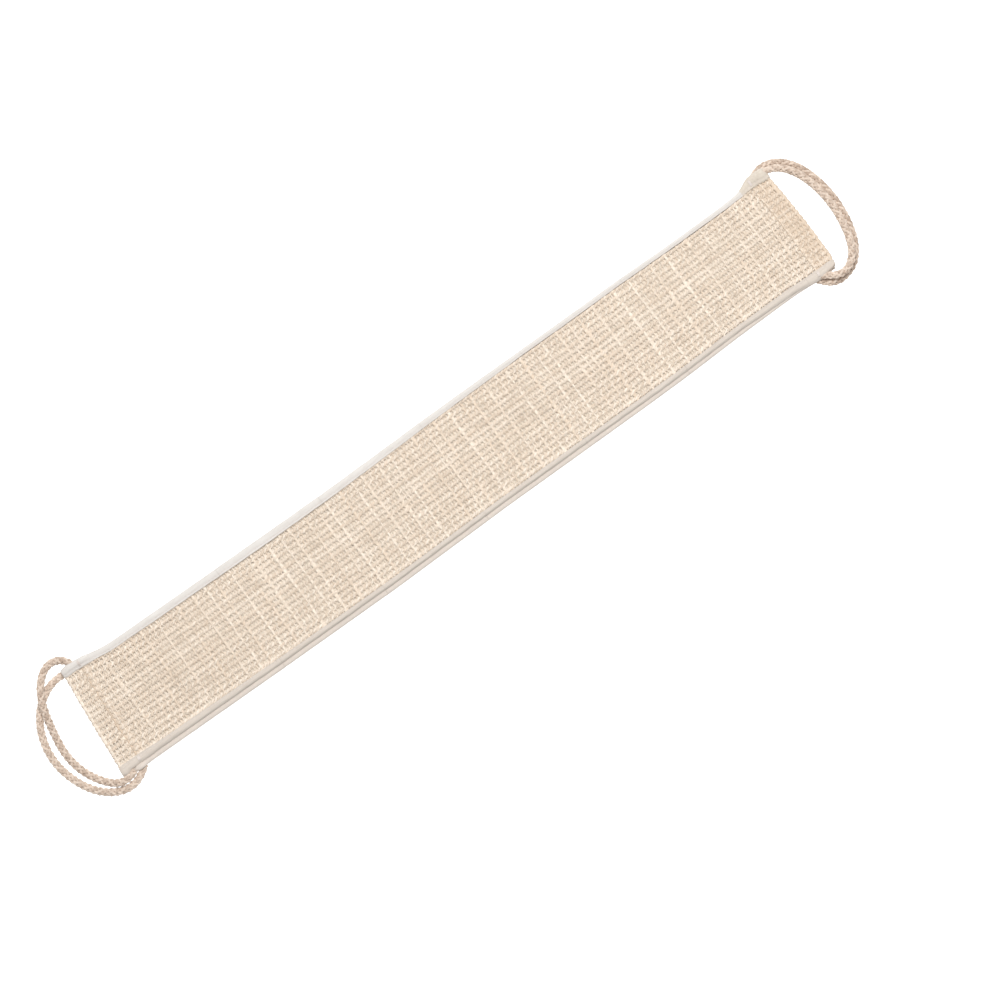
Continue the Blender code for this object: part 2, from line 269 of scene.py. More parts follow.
def ring_faces(count, rings, sides):
    """Faces of a batch of tubes with closed ends, each of the given number of rings and sides."""
    tube, ring, side = np.meshgrid(np.arange(count), np.arange(rings - 1), np.arange(sides), indexing="ij")
    here = (tube * rings + ring) * sides
    following = (side + 1) % sides
    quads = np.stack([here + side, here + following, here + sides + following, here + sides + side], -1)
    first = np.arange(count)[:, None] * rings * sides + np.arange(sides)[::-1]
    last = np.arange(count)[:, None] * rings * sides + (rings - 1) * sides + np.arange(sides)
    return [quads.reshape(-1, 4), np.concatenate([first, last])]


def tubes(paths, widths, heights, sides, yarns):
    """Points, faces and thread values of tubes along paths (count, rings, 3) with elliptic sections."""
    way = np.gradient(paths, axis=1)
    way /= np.linalg.norm(way, axis=-1, keepdims=True)
    across = np.cross(way, (0.0, 0.0, 1.0))
    across /= np.linalg.norm(across, axis=-1, keepdims=True)
    up = np.cross(across, way)
    angle = 2 * np.pi * np.arange(sides) / sides
    out = across[:, :, None] * np.cos(angle)[:, None] * widths[:, :, None, None]
    out = out + up[:, :, None] * np.sin(angle)[:, None] * heights[:, :, None, None]
    points = paths[:, :, None] + out
    steps = np.linalg.norm(np.diff(paths, axis=1), axis=-1)
    run = np.concatenate([np.zeros((len(paths), 1)), np.cumsum(steps, axis=1)], axis=1)
    along = np.broadcast_to(run[:, :, None], points.shape[:3])
    around = np.broadcast_to(angle / (2 * np.pi), points.shape[:3])
    yarn = np.broadcast_to(np.asarray(yarns, float).reshape(len(paths), -1, 1), points.shape[:3])
    thread = np.stack([along, around, yarn], -1).reshape(-1, 3)
    return points.reshape(-1, 3), ring_faces(len(paths), paths.shape[1], sides), thread


# Materials


def add_node(tree, kind, **settings):
    node = tree.nodes.new(kind)
    for key, value in settings.items():
        setattr(node, key, value)
    return node


def cloth_material(name, dark, light, streak, patch_size, bump, weave=None, sheen=0.25, spread=0.5):
    """Fibrous cloth or yarn: streaks along the thread, a tone for each yarn, soft patches, perhaps a weave.

    streak is the streaks' size along and around the thread; weave is the distance between woven threads.
    """
    material = bpy.data.materials.new(name)
    material.use_nodes = True
    tree = material.node_tree
    shader = tree.nodes["Principled BSDF"]
    shader.inputs["Metallic"].default_value = 0.0
    shader.inputs["Specular IOR Level"].default_value = 0.25
    shader.inputs["Sheen Weight"].default_value = sheen
    shader.inputs["Sheen Roughness"].default_value = 0.6
    link = tree.links.new

    thread = add_node(tree, "ShaderNodeAttribute", attribute_name="thread")
    place = add_node(tree, "ShaderNodeTexCoord")
    stretched = add_node(tree, "ShaderNodeVectorMath", operation="MULTIPLY")
    stretched.inputs[1].default_value = (1 / streak[0], 1 / streak[1], 37.0)
    link(thread.outputs["Vector"], stretched.inputs[0])
    fibre = add_node(tree, "ShaderNodeTexNoise")
    fibre.inputs["Scale"].default_value = 1.0
    fibre.inputs["Detail"].default_value = 3.0
    fibre.inputs["Roughness"].default_value = 0.65
    link(stretched.outputs[0], fibre.inputs["Vector"])

    patch = add_node(tree, "ShaderNodeTexNoise")
    patch.inputs["Scale"].default_value = 1 / patch_size
    patch.inputs["Detail"].default_value = 4.0
    link(place.outputs["Object"], patch.inputs["Vector"])

    parts = add_node(tree, "ShaderNodeSeparateXYZ")
    link(thread.outputs["Vector"], parts.inputs[0])
    tone = add_node(tree, "ShaderNodeMath", operation="MULTIPLY_ADD")
    tone.inputs[1].default_value = spread
    tone.inputs[2].default_value = 0.5 - spread / 2
    link(parts.outputs["Z"], tone.inputs[0])

    mixed = add_node(tree, "ShaderNodeMix", data_type="FLOAT")
    mixed.inputs["Factor"].default_value = 0.3
    link(fibre.outputs["Fac"], mixed.inputs["A"])
    link(patch.outputs["Fac"], mixed.inputs["B"])
    summed = add_node(tree, "ShaderNodeMath", operation="ADD")
    link(mixed.outputs["Result"], summed.inputs[0])
    link(tone.outputs[0], summed.inputs[1])
    ramp = add_node(tree, "ShaderNodeMapRange", interpolation_type="SMOOTHSTEP")
    ramp.inputs["From Min"].default_value = 0.62
    ramp.inputs["From Max"].default_value = 1.38
    link(summed.outputs[0], ramp.inputs["Value"])
    colour = add_node(tree, "ShaderNodeMix", data_type="RGBA")
    colour.inputs["A"].default_value = (*dark, 1)
    colour.inputs["B"].default_value = (*light, 1)
    link(ramp.outputs["Result"], colour.inputs["Factor"])
    link(colour.outputs["Result"], shader.inputs["Base Color"])

    roughness = add_node(tree, "ShaderNodeMapRange")
    roughness.inputs["To Min"].default_value = 0.78
    roughness.inputs["To Max"].default_value = 1.0
    link(fibre.outputs["Fac"], roughness.inputs["Value"])
    link(roughness.outputs["Result"], shader.inputs["Roughness"])

    height = fibre.outputs["Fac"]
    if weave:
        warp = add_node(tree, "ShaderNodeTexWave", wave_type="BANDS", bands_direction="X")
        weft = add_node(tree, "ShaderNodeTexWave", wave_type="BANDS", bands_direction="Y")
        for wave in (warp, weft):
            wave.inputs["Scale"].default_value = math.pi / 10 / weave
            wave.inputs["Distortion"].default_value = 0.6
            link(thread.outputs["Vector"], wave.inputs["Vector"])
        crossed = add_node(tree, "ShaderNodeMath", operation="MAXIMUM")
        link(warp.outputs["Fac"], crossed.inputs[0])
        link(weft.outputs["Fac"], crossed.inputs[1])
        joined = add_node(tree, "ShaderNodeMath", operation="MULTIPLY_ADD")
        joined.inputs[1].default_value = 0.8
        link(crossed.outputs[0], joined.inputs[0])
        link(fibre.outputs["Fac"], joined.inputs[2])
        height = joined.outputs[0]
    relief = add_node(tree, "ShaderNodeBump")
    relief.inputs["Strength"].default_value = 0.9
    relief.inputs["Distance"].default_value = bump
    link(height, relief.inputs["Height"])
    link(relief.outputs["Normal"], shader.inputs["Normal"])
    return material


sisal_weft = cloth_material(
    "sisal_weft", (0.69, 0.56, 0.435), (0.88, 0.79, 0.68), (3.5 * MM, 0.16), 14 * MM, 0.25 * MM, spread=0.35
)
sisal_wale = cloth_material(
    "sisal_wale", (0.69, 0.565, 0.445), (0.87, 0.775, 0.67), (2.6 * MM, 0.2), 11 * MM, 0.25 * MM, spread=0.4
)
sisal_ground = cloth_material(
    "sisal_ground", (0.68, 0.56, 0.44), (0.88, 0.78, 0.67), (2 * MM, 1 * MM), 9 * MM, 0.2 * MM
)
terry = cloth_material(
    "cotton_terry",
    (0.62, 0.55, 0.49),
    (0.90, 0.80, 0.68),
    (1.1 * MM, 1.1 * MM),
    16 * MM,
    0.4 * MM,
    sheen=0.5,
    spread=0.8,
)
folded_mesh = cloth_material(
    "folded_mesh", (0.53, 0.465, 0.39), (0.69, 0.62, 0.535), (2 * MM, 1 * MM), 9 * MM, 0.25 * MM
)
TAPE_CLOTH = ((6 * MM, 0.9 * MM), 12 * MM, 0.08 * MM)  # streaks, patches and relief of both tapes
upper_tape = cloth_material(
    "upper_tape", (0.605, 0.565, 0.525), (0.72, 0.69, 0.655), *TAPE_CLOTH, weave=0.55 * MM
)
# Painted shade: the lower tape is made darker than the upper one, for the shade along the strap's lower edge.
shaded_lower_tape = cloth_material(
    "shaded_lower_tape", (0.555, 0.485, 0.42), (0.665, 0.60, 0.53), *TAPE_CLOTH, weave=0.55 * MM
)
cord_yarn = cloth_material(
    "cotton_rope", (0.38, 0.275, 0.205), (0.78, 0.655, 0.55), (2.4 * MM, 0.10), 8 * MM, 0.28 * MM, spread=0.35
)
sewing_thread = cloth_material(
    "sewing_thread", (0.62, 0.55, 0.50), (0.74, 0.68, 0.64), (0.6 * MM, 0.3), 6 * MM, 0.05 * MM
)


# Lengths of cloth


def length_span(number):
    """The X where a length of cloth starts and ends: it goes from mid segment to mid segment."""
    start = LEFT + (number - 0.5) * SEGMENT_LENGTH
    end = start + SEGMENT_LENGTH
    if number == 1:
        start = LEFT
    if number == SEGMENTS - 1:
        end = RIGHT
    return start, end


def attach(piece, number, slot, *nodes):
    """The piece is baked where it lies, and the CAD nodes that it stands for are hidden."""
    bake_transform(piece)
    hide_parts(*nodes)
    return piece


def nodes_of(kind, number):
    """The CAD nodes that a length of cloth stands for."""
    found = [f"{kind}_{number}"]
    if number == SEGMENTS - 1:
        found.append(f"{kind}_{SEGMENTS}")
    return found


# The woven front

# Thickness of the crosswise yarns beside the usual one, repeated
RIB = (1.6, 0.56, 0.62, 0.58, 0.56, 1.40, 0.58, 0.62, 0.56, 1.25, 0.58, 0.56)


def weft_lattice():
    """The X of each crosswise yarn and its thickness beside the usual one; thick yarns take more room."""
    index = np.arange(WEFT_COUNT)
    thickness = np.array(RIB)[index % len(RIB)] * (1 + 0.20 * scatter(index, 1, 12))
    room = 0.5 + 0.5 * thickness
    x = LEFT + (np.cumsum(room) - room / 2) * (RIGHT - LEFT) / room.sum()
    return x, thickness


WEFT_X, WEFT_THICKNESS = weft_lattice()


def felted(x):
    """1 where the folded end of the mesh is so dense that its holes are closed."""
    beside_seam = ease((x - LEFT_SEAM - 1 * MM) / (1.5 * MM)) * ease((LEFT_SEAM + 6.5 * MM - x) / (2 * MM))
    return np.maximum(1.6 * beside_seam, ease((x - RIGHT_SEAM) / (4 * MM)))


def seam_dip(x):
    """1 on the line of a seam across the mesh."""
    at_left, at_right = (np.exp(-(((x - seam) / (1.1 * MM)) ** 2)) for seam in (LEFT_SEAM, RIGHT_SEAM))
    return at_left + 0.5 * at_right


def darker(x):
    """How much darker the mesh is at a seam and past the right one, as a change of its yarns' tone."""
    return -0.55 * ease((x - RIGHT_SEAM + 3 * MM) / (9 * MM)) - 0.9 * seam_dip(x)


def end_roll(x):
    """How far the mesh turns down at its folded ends."""
    share = np.clip(1 - np.minimum(x - LEFT, RIGHT - x) / (1.8 * MM), 0, 1)
    return 1.5 * MM * (1 - np.sqrt(1 - share**2))


def weft_phase(x):
    """A position along the strap counted in crosswise yarns."""
    return np.interp(x, WEFT_X, np.arange(WEFT_COUNT), left=-0.5, right=WEFT_COUNT - 0.5)


def fluff(x, y):
    """How far the yarns are teased out at a place, about 1 on average."""
    broad = noise(x, y, 0.012, 0.020, 21)
    fine = noise(x, y, 0.005, 0.006, 22)
    return (1 + 0.20 * broad + 0.17 * fine + 0.16 * felted(x)) * (1 - 0.50 * seam_dip(x))


def make_wefts(number, start, end):
    chosen = np.nonzero((WEFT_X >= start) & (WEFT_X < end))[0]
    y = np.linspace(-WEFT_REACH, WEFT_REACH, 108)
    x = WEFT_X[chosen][:, None]
    wobble = 0.30 * noise(chosen[:, None], y, 1, 7 * MM, 31)
    wobble = wobble + 0.16 * noise(chosen[:, None], y, 1, 2.5 * MM, 32)
    at_wale = np.cos(2 * np.pi * y / WALE_PITCH)
    rise = 0.18 * MM * noise(chosen[:, None], y, 1, 5 * MM, 33)
    level = MESH_Z - 1.0 * MM * seam_dip(x) - end_roll(x)
    path = np.stack(np.broadcast_arrays(x + wobble * MM, y[None], level + rise), -1)
    slub = 1 + 0.40 * noise(chosen[:, None], y, 1, 5 * MM, 34) - 0.14 * at_wale
    width = WEFT_RADIUS * WEFT_THICKNESS[chosen][:, None] * slub * fluff(x, y)
    height = np.clip(width * 0.85, 0.45 * MM, 0.68 * MM) * (1 - 0.10 * at_wale)
    yarns = 0.5 + 0.5 * scatter(chosen, 2, 35) + darker(x[:, 0])
    points, faces, thread = tubes(path, width, height, 6, yarns)
    return make_mesh(f"front_wefts_{number}", lay(points), faces, thread, sisal_weft)


def make_wales(number, start, end):
    """Pairs of lengthwise strands that twist round each crosswise yarn."""
    steps = round((end - start) / (WEFT_PITCH / 4))
    x = np.linspace(start, end, steps + 1)
    phase = np.pi * weft_phase(x)
    level = MESH_Z - 1.0 * MM * seam_dip(x) - end_roll(x)
    paths, widths, heights, yarns = [], [], [], []
    for wale in range(WALES):
        middle = (wale - (WALES - 1) / 2) * WALE_PITCH
        drift = 0.40 * MM * noise(x, wale, 0.014, 1, 41)
        for strand in (0, 1):
            turn = phase + np.pi * strand + 0.35 * noise(x, wale, 0.008, 1, 42 + strand)
            loose = 1 + 0.25 * noise(x, wale, 0.005, 1, 44 + strand)
            y = middle + drift + WALE_SWAY * loose * np.sin(turn)
            z = level + WALE_RISE * np.cos(turn)
            paths.append(np.stack([x, y, z], -1))
            thick = WALE_RADIUS * fluff(x, y) * (1 + 0.22 * noise(x, wale, 0.0035, 1, 46 + strand))
            widths.append(thick * 1.08)
            heights.append(thick * 0.66)
            yarns.append(0.5 + 0.5 * scatter(wale, strand, 48) + darker(x))
    points, faces, thread = tubes(np.array(paths), np.array(widths), np.array(heights), 6, yarns)
    return make_mesh(f"front_wales_{number}", lay(points), faces, thread, sisal_wale)


def make_ground(number, start, end):
    """The net that the yarns make: bands under them, open between them, closed where the mesh is felted."""
    band = WEFT_RADIUS * 0.92
    edges = np.sort(np.concatenate([WEFT_X - band * WEFT_THICKNESS, WEFT_X + band * WEFT_THICKNESS]))
    inside = edges[(edges > start + 0.1 * MM) & (edges < end - 0.1 * MM)]
    x = np.concatenate([[start], inside, [end]])
    wales = (np.arange(WALES) - (WALES - 1) / 2) * WALE_PITCH
    y = np.sort(np.concatenate([wales - GROUND_HALF, wales + GROUND_HALF, [-WEFT_REACH, WEFT_REACH]]))
    grid = np.stack(np.meshgrid(x, y, indexing="ij"), -1)
    level = MESH_Z - 0.3 * MM - end_roll(grid[..., :1]) - 1.2 * MM * seam_dip(grid[..., :1])
    points = np.concatenate([grid, level], -1)
    column, row = np.meshgrid(np.arange(len(x) - 1), np.arange(len(y) - 1), indexing="ij")
    middle_x = (x[:-1] + x[1:])[:, None] / 2
    middle_y = (y[:-1] + y[1:])[None] / 2
    nearest = np.abs(middle_x - WEFT_X[None]).argmin(1)[:, None]
    on_weft = np.abs(middle_x - WEFT_X[nearest]) < band * WEFT_THICKNESS[nearest]
    on_wale = np.abs(middle_y[..., None] - wales).min(-1) < GROUND_HALF
    kept = on_weft | on_wale | (felted(middle_x) > 0.6)
    corner = column * len(y) + row
    quads = np.stack([corner, corner + len(y), corner + len(y) + 1, corner + 1], -1)[kept]
    thread = np.stack([points[..., 0], points[..., 1], 0.4 + darker(points[..., 0])], -1)
    name = f"front_ground_{number}"
    return make_mesh(name, lay(points).reshape(-1, 3), [quads], thread.reshape(-1, 3), sisal_ground)


def make_fibres(number, start, end, count):
    """Short loose fibres that stand out of the weave."""
    draw = np.random.default_rng(100 + number)
    x = draw.uniform(start + 3 * MM, end - 3 * MM, count)
    y = draw.uniform(-FIBRE_REACH, FIBRE_REACH, count)
    heading = draw.uniform(0, 2 * np.pi, count)
    curl = draw.normal(0, 0.9, count)
    length = draw.uniform(2.5 * MM, 7 * MM, count)
    lift = draw.uniform(0.1 * MM, 0.8 * MM, count)
    share = np.linspace(0, 1, 5)
    angle = heading[:, None] + curl[:, None] * share
    step = length[:, None] / 4
    path_x = x[:, None] + np.cumsum(np.cos(angle) * step, axis=1)
    path_y = y[:, None] + np.cumsum(np.sin(angle) * step, axis=1)
    path_y = np.clip(path_y, -FIBRE_REACH - 1 * MM, FIBRE_REACH + 1 * MM)
    path_z = MESH_Z + 0.9 * MM + lift[:, None] * np.sin(np.pi * share) + 0.25 * MM
    path = np.stack([path_x, path_y, path_z], -1)
    thick = draw.uniform(0.05 * MM, 0.09 * MM, count)[:, None] * (1 - 0.5 * share)
    points, faces, thread = tubes(path, thick, thick, 3, draw.uniform(0.5, 1, count))
    return make_mesh(f"front_fibres_{number}", lay(points), faces, thread, sisal_weft)


# The back cloth


def make_back(number, start, end):
    """A closed slab of terry with rolled edges; the loops stand out on both faces."""
    columns = round((end - start) / TERRY_GRID)
    x = np.linspace(start, end, columns + 1)
    low, high = BACK_LOW_EDGE + 0.3 * MM, HALF_WIDTH - 0.6 * MM
    half_thick = 1.85 * MM
    run = np.arange(low + half_thick, high - half_thick, TERRY_GRID)
    roll = np.radians(np.arange(-60, 61, 30))
    top = np.stack([run[::-1], np.full(len(run), half_thick)], -1)
    far = np.stack([low + half_thick - half_thick * np.cos(roll[::-1]), half_thick * np.sin(roll[::-1])], -1)
    bottom = np.stack([run, np.full(len(run), -half_thick)], -1)
    near = np.stack([high - half_thick + half_thick * np.cos(roll), half_thick * np.sin(roll)], -1)
    section = np.concatenate([top, far, bottom, near])
    inner = np.clip(section[:, 0], low + half_thick, high - half_thick)
    out = np.stack([section[:, 0] - inner, section[:, 1]], -1) / half_thick
    distance = np.cumsum(np.r_[0, np.linalg.norm(np.diff(section, axis=0), axis=1)])
    column = np.arange(len(x))[:, None]
    row = x[:, None] / TERRY_ROW + 0.35 * noise(x[:, None], distance, 0.006, 0.006, 51)
    loops = 0.5 + 0.5 * np.sin(2 * np.pi * row)
    loops = loops * (0.5 + 0.5 * np.sin(2 * np.pi * distance / TERRY_LOOP + 0.8 * scatter(column, 0, 52)))
    rough = 0.5 + 0.5 * noise(x[:, None], distance, 1.6 * MM, 1.6 * MM, 53)
    thread_y = np.broadcast_to(distance, loops.shape)
    seam = np.exp(-(((np.abs(section[:, 0]) - (HALF_WIDTH - 5.6 * MM)) / (0.9 * MM)) ** 2))
    plain = ease((np.abs(section[:, 0]) - 42.5 * MM) / (2 * MM))
    swell = (0.30 * loops + 0.25 * rough) * MM * (1 - 0.8 * plain) - 0.35 * MM * seam
    hem = np.minimum(x - LEFT, RIGHT - x)[:, None]
    swell = swell - 0.3 * MM * np.exp(-(((hem - 9 * MM) / (0.9 * MM)) ** 2))
    ends = np.clip(hem / (1.6 * MM), 0, 1)
    thin = 0.35 + 0.65 * np.sqrt(1 - (1 - ends) ** 2)
    y = section[:, 0] + out[:, 0] * swell
    z = (half_thick + 0.6 * MM) + (section[:, 1] + out[:, 1] * swell) * thin
    over_rope = np.exp(-(((x[:, None] + 0.3285) / (5 * MM)) ** 2)) * ease((-y - 44 * MM) / (4 * MM))
    y = y - 1.0 * MM * over_rope
    z = z + 3.2 * MM * over_rope
    points = np.stack([np.broadcast_to(x[:, None], y.shape), y, z], -1)
    faces = ring_faces(1, len(x), section.shape[0])
    # Painted light: the terry's face under the mesh, seen in shade through the holes, is made lighter than its
    # open bands; its underside lies in between.
    painted_light_under_mesh = np.where(section[:, 1] > 0, ease((41 * MM - np.abs(section[:, 0])) / (2 * MM)), 0.45)
    tone = np.broadcast_to(0.2 + 0.62 * painted_light_under_mesh, y.shape)
    thread = np.stack([points[..., 0], thread_y, tone], -1)
    return make_mesh(f"back_terry_{number}", lay(points).reshape(-1, 3), faces, thread.reshape(-1, 3), terry)


# The bindings and the corners that hold the ropes


def corner_share(x, side):
    """0 along the strap, 1 where the binding is folded round the rope ends."""
    left_reach, right_reach = (33 * MM, 21 * MM) if side > 0 else (15 * MM, 27 * MM)
    reach = np.where(x < 0, left_reach, right_reach)
    return ease((np.abs(x) - HALF_LENGTH + reach) / (reach * 0.6))


def tape_section(x, side):
    """The closed section of a binding at each X: (count, corners, 3), and the run round it."""
    corner = corner_share(x, side)[:, None]
    inner_edge, outer_edge = (UPPER_INNER, UPPER_OUTER) if side > 0 else (LOWER_INNER, LOWER_OUTER)
    inner = np.interp(x, EDGE_X, inner_edge)[:, None] * MM
    outer = np.interp(x, EDGE_X, outer_edge)[:, None] * MM
    bottom = (BINDING_LOW + 0.1 * MM) * (1 - corner) + 0.5 * MM * corner
    top = (BINDING_HIGH - 0.4 * MM) * (1 - corner) + (TAB_TOP - 0.2 * MM) * corner
    edge = np.sin(np.radians(np.arange(15, 91, 15)))
    share = np.r_[np.linspace(0, CREST, 9), CREST + (1 - CREST) * edge]
    round_off = np.sqrt(np.clip(1 - ((share - CREST) / (1 - CREST)) ** 2, 0, 1))
    inner_crown = 0.80 - 0.38 * corner
    rise = inner_crown + (1 - inner_crown) * np.sin(np.pi / 2 * share / CREST)
    crown = np.where(share < CREST, rise, round_off)
    groove = 0.16 * np.exp(-(((share - STITCH_LINE) / 0.07) ** 2))
    profile = np.concatenate([share, share[-2::-1]])
    level = np.concatenate([crown - groove, -(crown - groove)[:, -2::-1]], axis=1)
    half = (top - bottom) / 2
    wrinkle = 0.16 * MM * noise(x[:, None], profile * 5, 7 * MM, 2, 61 + side)
    near_stitches = np.exp(-(((profile - STITCH_LINE) / 0.2) ** 2))
    pucker = 0.06 * MM * np.sin(2 * np.pi * x[:, None] / STITCH_PITCH) * near_stitches
    wrinkle = wrinkle + pucker
    wrinkle = wrinkle + 0.35 * MM * corner * noise(x[:, None], profile * 5, 4 * MM, 1.3, 63 + side)
    y = inner + (outer - inner) * profile + wrinkle * 0.6
    droop = 1.3 * MM * np.clip((profile - 0.5) / 0.5, 0, 1) ** 2 * (1 - corner)
    z = (top + bottom) / 2 + half * level - droop + wrinkle * np.sign(level + 0.001)
    points = np.stack(np.broadcast_arrays(x[:, None], y * side, z), -1)
    run = np.cumsum(np.r_[0, np.hypot(np.diff(profile) * 6, np.diff(level[0]) * 2.3)]) * MM
    return points, np.broadcast_to(run, z.shape)


def make_tape(name, start, end, side, material):
    columns = round((end - start) / (0.8 * MM))
    x = np.linspace(start, end, columns + 1)
    points, run = tape_section(x, side)
    thread = np.stack([points[..., 0], run, np.full(run.shape, 0.5)], -1)
    faces = ring_faces(1, len(x), points.shape[1])
    if side < 0:
        faces = [face[:, ::-1] for face in faces]
    return make_mesh(name, lay(points).reshape(-1, 3), faces, thread.reshape(-1, 3), material)


def make_corner(name, end, side, material):
    """The folded cloth at a corner: the binding's section, closed in round the ropes at its mouth."""
    outer_x = end * (HALF_LENGTH - 0.2 * MM)
    inner_x = end * (TAB_START - 3 * MM)
    x = np.linspace(inner_x, outer_x, 40)
    points, run = tape_section(x, side)
    middle = points.mean(axis=1, keepdims=True)
    points = middle + (points - middle) * (1.0 + 0.05 * ease(np.abs(x - inner_x) / (3 * MM)))[:, None, None]
    rounding = np.clip((np.abs(x) - HALF_LENGTH + 4.5 * MM) / (4.5 * MM), 0, 1)
    shrink = 1 - 0.30 * (1 - np.sqrt(1 - rounding**2))
    points = middle + (points - middle) * shrink[:, None, None]
    if material is folded_mesh:
        knots = 0.7 + 0.3 * np.cos(2 * np.pi * run / (2.4 * MM))
        ribs = np.cos(2 * np.pi * x / WEFT_PITCH)[:, None] * knots
        points = middle + (points - middle) * (1 + 0.045 * ribs)[..., None]
    lip_shares = np.array((0.93, 0.80, 0.72, 0.70))
    lip_steps = np.array((0.7, 0.6, -0.9, -3.0)) * MM * end
    rings = [points]
    for share, step in zip(lip_shares, lip_steps):
        lip = middle[-1:] + (points[-1:] - middle[-1:]) * share
        lip[..., 0] += step
        rings.append(lip)
    points = np.concatenate(rings)
    run = np.concatenate([run, np.repeat(run[-1:], len(lip_shares), axis=0)])
    thread = np.stack([points[..., 0], run, np.full(run.shape, 0.45)], -1)
    faces = ring_faces(1, len(points), points.shape[1])
    if side * end < 0:
        faces = [face[:, ::-1] for face in faces]
    return make_mesh(name, lay(points).reshape(-1, 3), faces, thread.reshape(-1, 3), material)


def make_bartack(name, end, side):
    """A short bar of dense stitches across a corner."""
    middle = end * (TAB_START + 25 * MM / 3)
    x = middle + np.linspace(-0.9 * MM, 0.9 * MM, 8)
    section, _ = tape_section(x, side)
    paths = section[:, 2:10] + (0, 0, 0.45 * MM)
    thick = np.full(paths.shape[:2], BARTACK_RADIUS)
    points, faces, thread = tubes(paths, thick, thick, 6, np.full(len(x), 0.5))
    return make_mesh(name, lay(points), faces, thread, sewing_thread)


def make_stitches(name, path_of, start, end):
    """A row of stitches that arch over a line: path_of gives its point at each position from start to end."""
    count = round(abs(end - start) / STITCH_PITCH)
    first = np.linspace(start, end, count, endpoint=False)
    step = (end - start) / count
    share = np.linspace(0.06, 0.90, 7)
    position = first[:, None] + share[None] * step
    points = path_of(position)
    points[..., 2] += (-0.12 + 0.34 * np.sin(np.linspace(0, np.pi, 7))) * MM
    thick = np.full(points.shape[:2], STITCH_RADIUS)
    made, faces, thread = tubes(points, thick, thick, 6, np.full(count, 0.5))
    return make_mesh(name, lay(made), faces, thread, sewing_thread)


def tape_line(side):
    def path(x):
        section, _ = tape_section(x.ravel(), side)
        return section[:, 3].reshape(*x.shape, 3)

    return path


# The ropes


def catmull(route):
    """Points of a smooth curve through the route; the height stays between each span's ends."""
    steps = 24
    route = [Vector(point) for point in route]
    padded = [2 * route[0] - route[1], *route, 2 * route[-1] - route[-2]]
    line = []
    for before, start, end, after in zip(padded, padded[1:], padded[2:], padded[3:]):
        for step in range(steps):
            t = step / steps
            square = 2 * before - 5 * start + 4 * end - after
            cube = 3 * start - before - 3 * end + after
            point = 0.5 * (2 * start + (end - before) * t + square * t**2 + cube * t**3)
            point.z = min(max(point.z, min(start.z, end.z)), max(start.z, end.z))
            line.append(tuple(point))
    line.append(tuple(route[-1]))
    return np.array(line)


def spaced(line, spacing):
    run = np.r_[0, np.cumsum(np.linalg.norm(np.diff(line, axis=0), axis=1))]
    even = np.linspace(0, run[-1], max(2, round(run[-1] / spacing)) + 1)
    return np.stack([np.interp(even, run, line[:, axis]) for axis in range(3)], -1)


def rope_line(route):
    line = spaced(catmull(route), 2 * MM)
    for _ in range(5):
        line[1:-1] = (line[:-2] + 2 * line[1:-1] + line[2:]) / 4
    return spaced(line, 0.8 * MM)


def seen_part(line):
    """The line without its ends that lie out of sight in the corners."""
    deep = (np.abs(line[:, 0]) < HALF_LENGTH - 7 * MM) & (np.abs(line[:, 1]) < 47 * MM)
    shown = np.nonzero(~deep)[0]
    return line[shown[0] : shown[-1] + 1]


def in_corner(line):
    """1 where a rope is pressed flat in a corner, 0 where it is round."""
    outside = np.maximum(np.abs(line[:, 0]) - HALF_LENGTH, np.abs(line[:, 1]) - TAB_OUTER)
    return 1 - ease((outside - 1 * MM) / (8 * MM))


def make_rope(name, route, seed):
    """An eight-strand cotton braid: four strands wind each way, over and under each other, round a core."""
    line = seen_part(rope_line(route))
    way = np.gradient(line, axis=0)
    way /= np.linalg.norm(way, axis=1, keepdims=True)
    across = np.cross(way, (0, 0, 1))
    across /= np.linalg.norm(across, axis=1, keepdims=True)
    up = np.cross(across, way)
    run = np.r_[0, np.cumsum(np.linalg.norm(np.diff(line, axis=0), axis=1))]
    flat = in_corner(line)
    wide, high = 1 - 0.08 * flat, 1 - 0.42 * flat
    turn = 2 * np.pi * run / BRAID_PITCH
    paths, widths, heights, yarns = [], [], [], []
    for winding in (1, -1):
        for strand in range(4):
            angle = winding * turn + np.pi / 2 * strand + 0.06 * noise(run, strand, 0.012, 1, seed + winding)
            orbit = PLY_ORBIT + winding * PLY_WEAVE * np.cos(4 * turn)
            aside, above = np.cos(angle) * orbit * wide, np.sin(angle) * orbit * high
            paths.append(line + (across * aside[:, None] + up * above[:, None]))
            thick = PLY_RADIUS * (1 + 0.07 * noise(run, strand, 0.004, 1, seed + 7 * winding))
            widths.append(thick)
            heights.append(thick * (1 - 0.3 * flat))
            yarns.append(0.5 + 0.5 * scatter(strand, winding, seed))
    paths.append(line)
    widths.append(np.full(len(line), PLY_ORBIT * 0.8) * wide)
    heights.append(np.full(len(line), PLY_ORBIT * 0.8) * high)
    yarns.append(0.2)
    points, faces, thread = tubes(np.array(paths), np.array(widths), np.array(heights), 7, yarns)
    points[..., 2] = np.maximum(points[..., 2], 0.05 * MM)  # the rope is pressed flat where it rests
    return make_mesh(name, points, faces, thread, cord_yarn), line, run[-1]


ROPES = {
    "left_front": LEFT_FRONT_ROUTE,
    "left_back": LEFT_BACK_ROUTE,
    "right_front": RIGHT_FRONT_ROUTE,
    "right_back": RIGHT_BACK_ROUTE,
}
for index, (word, route) in enumerate(ROPES.items()):
    rope, line, length = make_rope(f"{word}_braid", route, 70 + 10 * index)
    end = -1 if word.startswith("left") else 1
    hand = word.split("_")[0]
    start, stop = (end * (SWING_X - 8 * MM), 0, 0), (end * (SWING_X + 8 * MM), 0, 0)
    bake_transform(rope)
    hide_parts(*(f"{word}_rope_{part}" for part in ("loop", "upper_end", "lower_end")))


# The strap, one length of cloth after another

